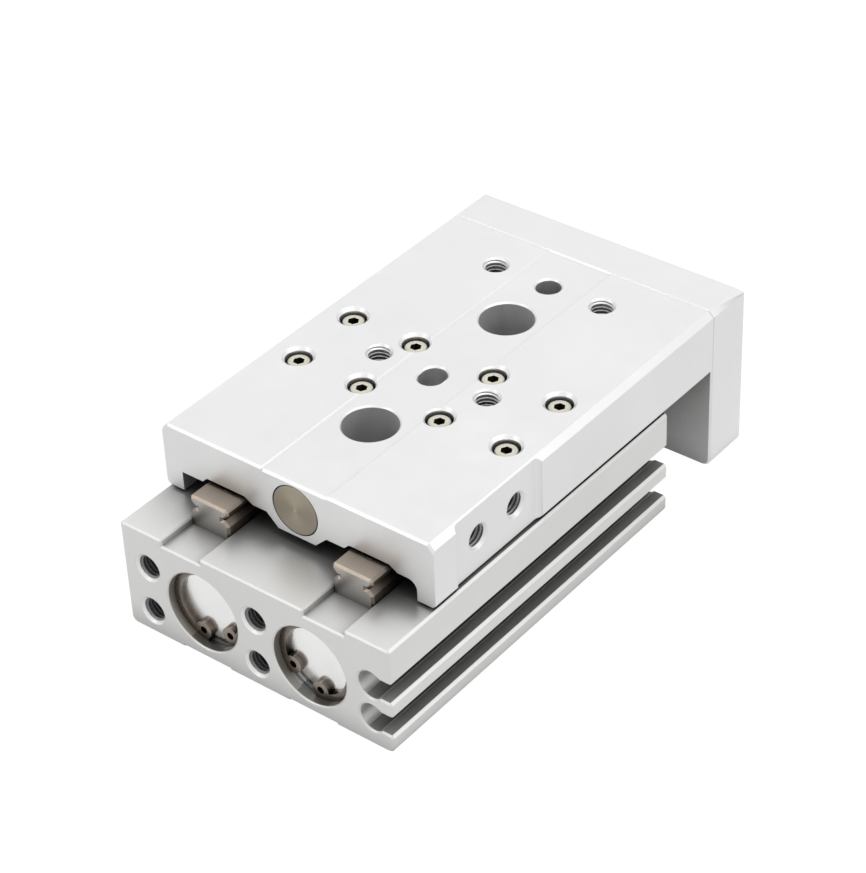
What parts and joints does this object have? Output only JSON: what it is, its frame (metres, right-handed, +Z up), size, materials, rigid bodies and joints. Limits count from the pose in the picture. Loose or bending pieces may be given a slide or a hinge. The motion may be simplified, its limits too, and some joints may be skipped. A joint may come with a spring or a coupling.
{
  "type": "pneumatic slide table",
  "caption": "Compact air-driven slide: a cylinder body carries a flat table on ball guides, with an end plate fixed to its piston rods.",
  "frame": {"origin": "centre of the flat face under the cylinder body", "axes": "+Y the way the table extends, +Z up out of the table top, +X towards the sensor grooves"},
  "size_m": [0.062, 0.1094, 0.0376],
  "materials": {
    "body_aluminium": "clear anodised, satin",
    "table_aluminium": "clear anodised, fine matt",
    "cover_aluminium": "bright turned",
    "rail_steel": "ground stainless, warm grey",
    "pin_steel": "turned steel",
    "ring_steel": "phosphated spring steel",
    "screw_steel": "zinc plated",
    "rod_steel": "hard chrome",
    "ball_steel": "polished",
    "bearing_bronze": "sintered bronze",
    "seal_rubber": "nitrile rubber",
    "bumper_urethane": "polyurethane",
    "cap_plastic": "moulded acetal",
    "magnet_plastic": "bonded magnet"
  },
  "bodies": {
    "body": {"cylinder_body": "body_aluminium", "guide_rail_left": "rail_steel", "guide_rail_right": "rail_steel", "rail_screws_left": "screw_steel", "rail_screws_right": "screw_steel", "head_cover_left": "cover_aluminium", "head_cover_right": "cover_aluminium", "head_cover_seals": "seal_rubber", "rear_retaining_ring_left": "ring_steel", "rear_retaining_ring_right": "ring_steel", "rod_cover_left": "cover_aluminium", "rod_cover_right": "cover_aluminium", "rod_cover_seals": "seal_rubber", "rod_bearings": "bearing_bronze", "rod_seals": "seal_rubber", "front_retaining_rings": "ring_steel", "head_bumpers": "bumper_urethane", "rod_bumpers": "bumper_urethane", "side_port_plugs": "screw_steel"},
    "table": {"block_end_caps_left": "cap_plastic", "block_end_caps_right": "cap_plastic", "block_end_seals_left": "seal_rubber", "block_end_seals_right": "seal_rubber", "block_screws_left": "screw_steel", "block_screws_right": "screw_steel", "end_plate": "table_aluminium", "end_plate_screws": "screw_steel", "floating_bushes": "pin_steel", "guide_balls_left": "ball_steel", "guide_balls_right": "ball_steel", "guide_block_left": "rail_steel", "guide_block_right": "rail_steel", "piston_front_left": "cover_aluminium", "piston_front_right": "cover_aluminium", "piston_magnets": "magnet_plastic", "piston_nuts": "screw_steel", "piston_rear_left": "cover_aluminium", "piston_rear_right": "cover_aluminium", "piston_rod_left": "rod_steel", "piston_rod_right": "rod_steel", "piston_seals": "seal_rubber", "piston_wear_rings": "magnet_plastic", "rod_nuts": "screw_steel", "rod_washers": "screw_steel", "slide_table": "table_aluminium", "stop_pin": "pin_steel"}
  },
  "joints": [
    {"name": "table_slide", "type": "slide", "parent": "body", "child": "table", "axis": [0, 1, 0], "range_m": [-0.0131, 0.0069]}
  ]
}
